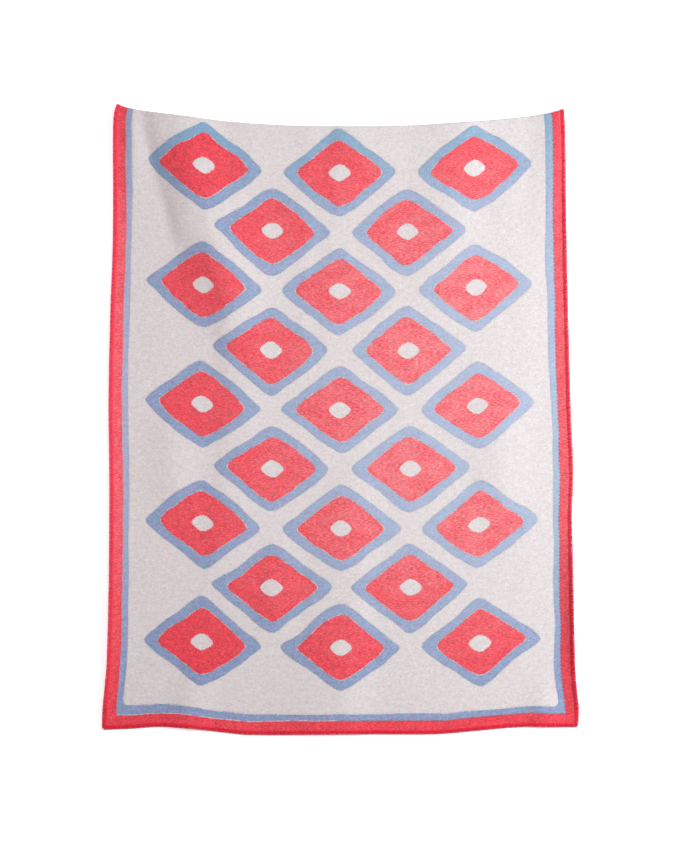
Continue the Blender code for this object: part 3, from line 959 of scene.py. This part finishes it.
def brushed_weave_group():
    """The height of brushed double cloth: soft ribs across, fainter ones along, and matted fibres."""
    group, given, give = new_group("brushed_weave", {"height": FLOAT}, place=VECTOR, rib=0.35, fibre=0.65)
    across, along = split_place(given.place)
    wander = cloud(given.place, WANDER) * WEFT_WANDER
    weft = sum_of("SINE", along * (2 * math.pi / WEAVE_STEP) + wander)
    warp = sum_of("SINE", across * (2 * math.pi / WARP_STEP))
    matted = cloud(given.place, FIBRES) + cloud(given.place, TUFTS)
    give(height=(weft * WEFT_SHARE + warp * WARP_SHARE) * given.rib + matted * given.fibre)
    return group


def new_material(name):
    """A material with its tree, its shader and nothing else."""
    material = bpy.data.materials.new(name)
    material.use_nodes = True
    tree = material.node_tree
    return material, tree, tree.nodes["Principled BSDF"]


def finish(tree, shader, **sources):
    """Feeds sockets of a shader."""
    for word, source in sources.items():
        feed(tree, shader.inputs[label(word)], source)


def woolly(shader, sheen):
    """The finish that every wool has: rough, with the sheen of loose fibres."""
    shader.inputs["Roughness"].default_value = WOOL_ROUGHNESS
    shader.inputs["Specular IOR Level"].default_value = WOOL_SHINE
    shader.inputs["Sheen Weight"].default_value = sheen
    shader.inputs["Sheen Roughness"].default_value = SHEEN_ROUGHNESS
    shader.inputs["Sheen Tint"].default_value = (*SHEEN_TINT, 1.0)


def relief(height, depth, strength=1.0):
    """A bump's normal."""
    sources = {"Strength": strength, "Distance": depth, "Height": height}
    return add_node(height.tree, "ShaderNodeBump", "Normal", sources)


def woven_wool(name, groups, ground, core):
    """Cloth woven in its borders and lozenges, of a wool for the ground and one for cores and outer band."""
    material, tree, shader = new_material(name)
    place = add_node(tree, "ShaderNodeUVMap", "UV", uv_map="cut_metres")
    across, along = split_place(place)
    threads = use_group(groups.steps, place).place
    broken = soft_step(cloud(place, BREAKS), *BREAK_EDGES)
    border = use_group(groups.border, threads, line_share=broken)
    motif = use_group(groups.motif, threads, line_share=broken)
    white, red, blue = (use_group(groups.marl, place, **wool._asdict()).colour
                        for wool in (ground, core, BLUE_WOOL))

    def under_painted_glare(wool, veil):
        """A wool's colour under its veil of painted glare."""
        return use_group(groups.bloom, place, wool=wool, **veil._asdict()).colour

    near_head = soft_step(along, SHOWN_LENGTH - HEAD_BLUE_RUN, SHOWN_LENGTH, 0.0, HEAD_BLUE_SHARE)
    blue = mix_colours(near_head, blue, HEAD_BLUE)
    # painted glare over the lozenges' blue rings and red cores
    field = mix_colours(motif.ring, white, under_painted_glare(blue, BLUE_GLARE))
    field = mix_colours(motif.core, field, under_painted_glare(red, RED_GLARE))
    # painted light, with a more purple hue, on the blue band up the left side, which lies in shade
    near_left = soft_step(across, 0.0, CUT_WIDTH, soft_step(along, *LEFT_PURPLE_AND_LIGHT_SHARE), 0.0)
    band_blue = mix_colours(near_left, blue, LEFT_PURPLE_AND_LIGHT)
    # and painted glare over the border bands
    bands = mix_colours(border.blue, white, under_painted_glare(band_blue, BLUE_BAND_GLARE))
    bands = mix_colours(border.red, bands, under_painted_glare(red, RED_BAND_GLARE))
    # painted shadow in notches at the weft's turns along the right band
    bands = mix_colours(border.turns * TURN_SHADE, bands, TURN_SHADOW_COLOUR)
    weave = use_group(groups.weave, place).height
    ditch = most(motif.ditch * (1.0 - border.band), border.ditch)
    finish(tree, shader, base_color=mix_colours(border.band, field, bands),
           normal=relief(weave - ditch * DITCH_DEPTH, WEAVE_RELIEF))
    woolly(shader, CLOTH_SHEEN)
    return material


def crimson_yarn():
    """The overlock's yarn: two twisted plies, painted shade in their groove and low down the sides, painted
    light up the left.
    """
    material, tree, shader = new_material("crimson_wool_yarn")
    length, around = split_place(add_node(tree, "ShaderNodeUVMap", "UV", uv_map="yarn_run"))
    place = add_node(tree, "ShaderNodeTexCoord", "Object")
    across, along = split_place(place)
    plies = abs(sum_of("SINE", (length * (1 / YARN_TWIST) + around) * (2 * math.pi)))
    fibres = cloud(place, YARN_FIBRES)
    dye = soft_step(cloud(place, YARN_DYES), *YARN_DYE_TONES)
    on_hem = soft_step(along, *YARN_HEM)
    # painted shade: the groove between the plies and the yarn low down the sides go towards the shaded
    # colour, with dye tones at random
    lit = soft_step(plies + fibres * FIBRE_LIT, *YARN_LIT) * dye * most(soft_step(along, *YARN_LOW_SHADE), on_hem)
    # painted light: paler up the left side, darker up the right
    to_right = most(soft_step(across, *YARN_SIDES), on_hem)
    shade_and_dark_dye = mix_colours(to_right, LEFT_YARN_SHADE_AND_DARK_DYE, YARN_SHADE_AND_DARK_DYE)
    red = mix_colours(to_right, LEFT_YARN_PAINTED_LIGHT_RED, YARN_RED)
    red = mix_colours(on_hem, red, HEM_YARN_RED)
    finish(tree, shader, base_color=mix_colours(lit, shade_and_dark_dye, red),
           normal=relief(plies + fibres * FIBRE_RELIEF, YARN_RELIEF, YARN_RELIEF_STRENGTH))
    woolly(shader, YARN_SHEEN)
    return material


def plain_floor():
    """A pale studio floor."""
    material, tree, shader = new_material("pale_floor")
    finish(tree, shader, base_color=FLOOR_COLOUR, roughness=FLOOR_ROUGHNESS, emission_color=(1.0, 1.0, 1.0),
           emission_strength=FLOOR_GLOW)
    bpy.ops.mesh.primitive_plane_add(size=FLOOR_SIZE, location=(0.0, 0.0, -FLOOR_DROP))
    floor = bpy.context.object
    floor.name = "studio_floor"
    floor.data.materials.append(material)


def camera():
    """Looks straight down on the cloth, with the photograph's framing."""
    across = (PHOTO_WIDTH / 2 - PLAN_ORIGIN_PIXEL[0]) * METRES_A_PIXEL - MIDDLE[0]
    up = (PLAN_ORIGIN_PIXEL[1] - PHOTO_HEIGHT / 2) * METRES_A_PIXEL - MIDDLE[1]
    distance = PHOTO_HEIGHT * METRES_A_PIXEL * LENS / SENSOR
    lens = bpy.data.cameras.new("camera")
    lens.lens = LENS
    lens.sensor_width = SENSOR
    lens.clip_end = 100.0
    eye = bpy.data.objects.new("camera", lens)
    eye.location = (across, up, distance)
    bpy.context.scene.collection.objects.link(eye)
    bpy.context.scene.camera = eye


def lamps():
    """Plain soft studio light, strongest from the right."""
    for lamp in LAMPS:
        light = bpy.data.lights.new(lamp.name, "AREA")
        light.size = lamp.size
        light.energy = lamp.power
        light.color = lamp.colour
        holder = bpy.data.objects.new(lamp.name, light)
        holder.location = lamp.place
        holder.rotation_euler = (-Vector(lamp.place)).to_track_quat("-Z", "Y").to_euler()
        bpy.context.scene.collection.objects.link(holder)
    world = bpy.data.worlds.new("studio")
    world.use_nodes = True
    background = world.node_tree.nodes["Background"]
    background.inputs["Color"].default_value = (*WORLD_COLOUR, 1.0)
    background.inputs["Strength"].default_value = WORLD_LIGHT
    bpy.context.scene.world = world


def main():
    """Dresses the cloth and sets up the studio."""
    groups = SimpleNamespace(
        steps=woven_steps_group(), border=border_bands_group(), motif=lozenge_rows_group(),
        marl=wool_marl_group(), bloom=painted_glare_group(), weave=brushed_weave_group())
    face = woven_wool("woven_wool_face", groups, WHITE_WOOL, RED_WOOL)
    back = woven_wool("woven_wool_back", groups, RED_WOOL, WHITE_WOOL)
    yarn = crimson_yarn()

    panel = cloth_sheet(face, back)
    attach(panel, "root")
    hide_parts("blanket")

    edges = [overlock(run, yarn, seed) for seed, run in enumerate(RUNS)]
    for edge in edges:
        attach(edge, "root")

    fuzz = nap(face)
    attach(fuzz, "root")

    plain_floor()
    camera()
    lamps()
    bpy.context.scene.view_settings.view_transform = "Standard"


main()
